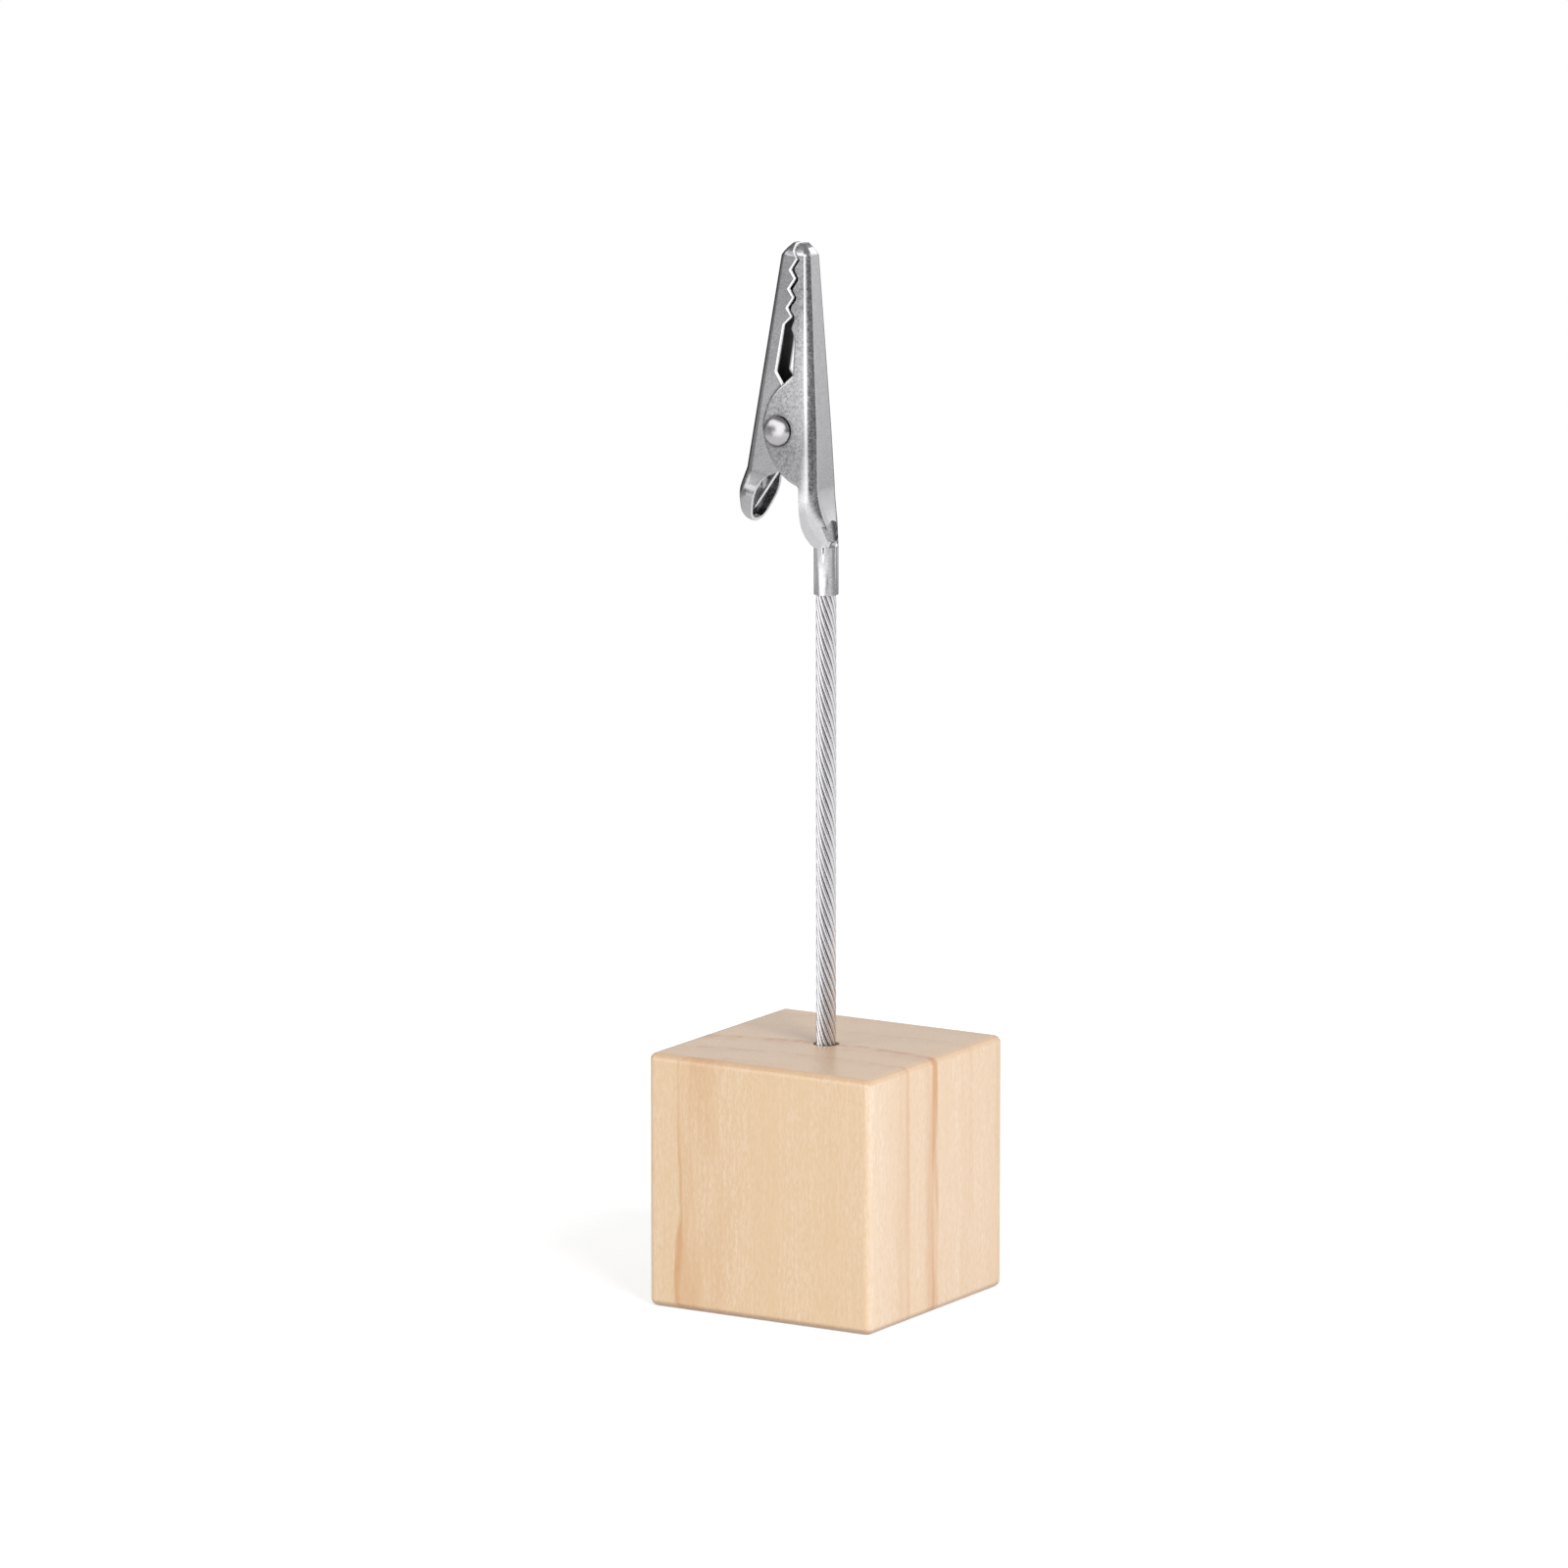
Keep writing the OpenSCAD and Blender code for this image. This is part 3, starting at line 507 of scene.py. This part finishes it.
def dressJaw(name, node, body, material, own):
    bm = bmesh.new()
    bm.from_mesh(frame["nodes"][node].data)
    bmesh.ops.remove_doubles(bm, verts=bm.verts, dist=jaw["weld"])
    bmesh.ops.dissolve_limit(bm, angle_limit=math.radians(jaw["flat"]), verts=bm.verts, edges=bm.edges)
    markSides(bm, own)
    piece = addPiece(name, bm, material, body, "nickel", node)
    piece.data.set_sharp_from_angle(angle=math.radians(jaw["sharp"]))
    rolled = piece.modifiers.new("rolledEdges", "BEVEL")
    rolled.width = jaw["edge"]
    rolled.segments = jaw["edgeSteps"]
    rolled.limit_method = "WEIGHT"
    rolled.use_clamp_overlap = False
    rolled.loop_slide = False
    rolled.harden_normals = True
    weighNormals(piece)


dressJaw("fixedJaw", "fixed_jaw", "stand", nickel, fixedJaw)
dressJaw("movingJaw", "moving_jaw", "moving_jaw", movingNickelShaded, movingJaw)
print("jaws dressed")

rivet = {"shank": 1.8 * mm, "head": 3.45 * mm, "seat": 2.645 * mm, "dome": 0.73 * mm,
         "steps": 24, "sides": 64, "weld": 0.001 * mm, "sharp": 50}


def makeRivet():
    headRadius = rivet["head"] / 2
    profile = [(rivet["shank"] / 2, 0), (rivet["shank"] / 2, rivet["seat"])]
    for step in range(rivet["steps"] + 1):
        angle = math.pi / 2 * step / rivet["steps"]
        profile.append((headRadius * math.cos(angle), rivet["seat"] + rivet["dome"] * math.sin(angle)))
    bm = bmesh.new()
    verts = [bm.verts.new((0, -out, across)) for across, out in profile]
    verts = verts[::-1] + [bm.verts.new((0, out, across)) for across, out in profile[1:]]
    edges = [bm.edges.new(pair) for pair in zip(verts, verts[1:])]
    bmesh.ops.spin(bm, geom=verts + edges, cent=(0, 0, 0), axis=(0, 1, 0), angle=2 * math.pi,
                   steps=rivet["sides"], use_merge=True)
    bmesh.ops.remove_doubles(bm, verts=bm.verts, dist=rivet["weld"])
    bmesh.ops.recalc_face_normals(bm, faces=bm.faces)
    bmesh.ops.translate(bm, vec=pivot, verts=bm.verts)
    piece = addPiece("pivotRivet", bm, rivetNickel, "stand", "nickel", "pivot_rivet")
    piece.data.set_sharp_from_angle(angle=math.radians(rivet["sharp"]))


makeRivet()
print("rivet made")

spring = {
    "wire": 0.4 * mm, "coil": 1.26 * mm, "half": 1.154 * mm, "leg": 0.454 * mm, "bow": 0.05 * mm,
    "tailSeat": (4.487 * mm, -7.6 * mm), "tabSeat": (-5.25 * mm, -10.06 * mm),
    "tailAngle": -141.235, "sweep": 975.01,  # degrees
    "pointsPerTurn": 32, "legSteps": 16, "roundness": 3, "weld": 0.001 * mm,
}


def makeSpring():
    count = math.ceil(spring["sweep"] * spring["pointsPerTurn"] / 360)
    path = [Vector((spring["tailSeat"][0], -spring["leg"], spring["tailSeat"][1]))]
    for step in range(count + 1):
        share = step / count
        angle = math.radians(spring["tailAngle"] - spring["sweep"] * share)
        across = (2 * share - 1) * spring["half"]
        path.append(Vector((spring["coil"] * math.cos(angle), across, spring["coil"] * math.sin(angle))))
    root, tip = path[-1], Vector((spring["tabSeat"][0], spring["leg"], spring["tabSeat"][1]))
    side = Vector((0, 1, 0)).cross(root - tip).normalized()
    for step in range(1, spring["legSteps"] + 1):
        share = step / spring["legSteps"]
        path.append(root.lerp(tip, share) + side * (4 * share * (1 - share) * spring["bow"]))
    curve = bpy.data.curves.new("jawSpringPath", "CURVE")
    curve.dimensions = "3D"
    curve.bevel_depth = spring["wire"] / 2
    curve.bevel_resolution = spring["roundness"]
    curve.use_fill_caps = True
    line = curve.splines.new("POLY")
    line.points.add(len(path) - 1)
    for point, place in zip(line.points, path):
        point.co = (*(pivot + place), 1)
    draft = bpy.data.objects.new("jawSpringPath", curve)
    scene.collection.objects.link(draft)
    bpy.context.view_layer.update()
    mesh = bpy.data.meshes.new_from_object(draft.evaluated_get(bpy.context.evaluated_depsgraph_get()))
    bm = bmesh.new()
    bm.from_mesh(mesh)
    bpy.data.objects.remove(draft)
    bpy.data.meshes.remove(mesh)
    bmesh.ops.remove_doubles(bm, verts=bm.verts, dist=spring["weld"])
    bmesh.ops.recalc_face_normals(bm, faces=bm.faces)
    piece = addPiece("jawSpring", bm, springSteel, None, "spring_steel", "jaw_spring")
    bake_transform(piece)


makeSpring()
print("spring wound")


# Stage, light and camera

stageLook = {"radius": 0.3, "sides": 96, "shade": 0.55, "lift": 0.6, "mirrorLift": 0.4}


def makeFloor():
    bm = bmesh.new()
    bmesh.ops.create_circle(bm, cap_ends=True, radius=stageLook["radius"], segments=stageLook["sides"])
    mesh = bpy.data.meshes.new("paleFloor")
    bm.to_mesh(mesh)
    bm.free()
    floor = bpy.data.objects.new("paleFloor", mesh)
    scene.collection.objects.link(floor)
    material = bpy.data.materials.new("paleFloor")
    material.use_nodes = True
    tree = material.node_tree
    tree.nodes.clear()
    matt = addNode(tree, "ShaderNodeBsdfDiffuse", {"Color": (*[stageLook["shade"]] * 3, 1)})
    seen = addNode(tree, "ShaderNodeLightPath").outputs
    mirror = calc(tree, "MULTIPLY", seen["Is Glossy Ray"], stageLook["mirrorLift"])
    strength = calc(tree, "MULTIPLY_ADD", seen["Is Camera Ray"], stageLook["lift"], mirror)
    lift = addNode(tree, "ShaderNodeEmission", {"Strength": strength})
    both = addNode(tree, "ShaderNodeAddShader", {0: matt.outputs[0], 1: lift.outputs[0]})
    addNode(tree, "ShaderNodeOutputMaterial", {"Surface": both.outputs[0]})
    mesh.materials.append(material)


# Studio as metal sees it: brightness by bearing from the front in degrees, in bands from the table upwards
studio = {
    "table": [(-180, 0.4), (-150, 0.5), (-38, 0.5), (-33, 2.0), (-4, 2.0), (14, 1.3), (84, 1.2), (98, 0.2),
              (150, 0.2), (180, 0.4)],
    "walls": [(-180, 0.3), (-150, 0.06), (-93, 0.06), (-80, 0.5), (-66, 0.5), (-54, 0.25), (-28, 0.25), (-20, 2.0),
              (14, 2.0), (24, 0.08), (100, 0.09), (107, 1.0), (118, 0.95), (128, 0.88), (160, 0.88), (172, 0.3),
              (180, 0.3)],
    "screen": [(-180, 0.9), (-146, 0.9), (-134, 0.22), (-72, 0.22), (-60, 1.9), (26, 1.9), (42, 0.3), (80, 0.3),
               (104, 0.9), (140, 0.9), (152, 1.8), (166, 1.8), (176, 0.9), (180, 0.9)],
    "wallsFrom": (-0.18, -0.09), "screenFrom": (0.075, 0.175), "ceilingFrom": (0.5, 0.7),
    "ceiling": 0.3, "fill": 0.55, "brightest": 2.0,
}


def makeWorld():
    world = bpy.data.worlds.new("studio")
    scene.world = world
    world.use_nodes = True
    tree = world.node_tree
    tree.nodes.clear()
    apart = addNode(tree, "ShaderNodeSeparateXYZ",
                    {"Vector": addNode(tree, "ShaderNodeTexCoord").outputs["Generated"]})
    bearing = calc(tree, "ARCTAN2", apart.outputs[0], calc(tree, "MULTIPLY", apart.outputs[1], -1.0))
    share = calc(tree, "MULTIPLY_ADD", bearing, 0.5 / math.pi, 0.5)

    def around(levels):  # ramps stop at 1, so the brightness is stored as a share of the brightest
        return ramp(tree, share, [(angle / 360 + 0.5, level / studio["brightest"]) for angle, level in levels])

    def above(limits):  # heights run from -1 to 1, and a ramp from 0 to 1
        low, high = limits
        return ramp(tree, calc(tree, "MULTIPLY_ADD", apart.outputs[2], 0.5, 0.5),
                    [(low / 2 + 0.5, 0.0), (high / 2 + 0.5, 1.0)])

    ceiling = studio["ceiling"] / studio["brightest"]
    room = mixColour(tree, above(studio["wallsFrom"]), around(studio["table"]), around(studio["walls"]))
    room = mixColour(tree, above(studio["screenFrom"]), room, around(studio["screen"]))
    room = mixColour(tree, above(studio["ceilingFrom"]), room, (ceiling, ceiling, ceiling, 1))
    seen = addNode(tree, "ShaderNodeLightPath").outputs
    glossy = addNode(tree, "ShaderNodeBackground", {"Color": room, "Strength": studio["brightest"]})
    plain = addNode(tree, "ShaderNodeBackground", {"Color": (1, 1, 1, 1), "Strength": studio["fill"]})
    white = addNode(tree, "ShaderNodeBackground", {"Color": (1, 1, 1, 1), "Strength": 1.0})
    mirror = calc(tree, "MAXIMUM", seen["Is Glossy Ray"], seen["Is Transmission Ray"])
    first = addNode(tree, "ShaderNodeMixShader", {0: mirror, 1: plain.outputs[0], 2: glossy.outputs[0]})
    last = addNode(tree, "ShaderNodeMixShader",
                   {0: seen["Is Camera Ray"], 1: first.outputs[0], 2: white.outputs[0]})
    addNode(tree, "ShaderNodeOutputWorld", {"Surface": last.outputs[0]})


lamps = {
    "keyLamp": {"from": (0.56, -0.3, 0.42), "size": 0.4, "power": 4.6},
    "fillLamp": {"from": (-0.4, -0.5, 0.3), "size": 0.5, "power": 1.4},
}
aim = Vector((0, 0, 0.05))


def makeLamps():
    for name, lamp in lamps.items():
        light = bpy.data.lights.new(name, "AREA")
        light.shape = "DISK"
        light.size = lamp["size"]
        light.energy = lamp["power"]
        holder = bpy.data.objects.new(name, light)
        holder.location = lamp["from"]
        holder.rotation_euler = (aim - Vector(lamp["from"])).to_track_quat("-Z", "Y").to_euler()
        holder.visible_glossy = False
        scene.collection.objects.link(holder)


camera = {
    "bearing": 31.4, "height": 10.8, "distance": 1.357, "target": (0, 0, 0.062),
    "lens": 270, "sensor": 36, "shift": (-43 / 1600, -12 / 1600), "clip": (0.05, 10),
}


def makeCamera():
    data = bpy.data.cameras.new("photoCamera")
    data.lens = camera["lens"]
    data.sensor_width = camera["sensor"]
    data.shift_x, data.shift_y = camera["shift"]
    data.clip_start, data.clip_end = camera["clip"]
    holder = bpy.data.objects.new("photoCamera", data)
    turn, lift = math.radians(camera["bearing"]), math.radians(camera["height"])
    back = Vector((math.sin(turn) * math.cos(lift), -math.cos(turn) * math.cos(lift), math.sin(lift)))
    holder.location = Vector(camera["target"]) + back * camera["distance"]
    holder.rotation_euler = (-back).to_track_quat("-Z", "Y").to_euler()
    scene.collection.objects.link(holder)
    scene.camera = holder


makeFloor()
makeWorld()
makeLamps()
makeCamera()
scene.view_settings.view_transform = "Standard"
print("stage set")
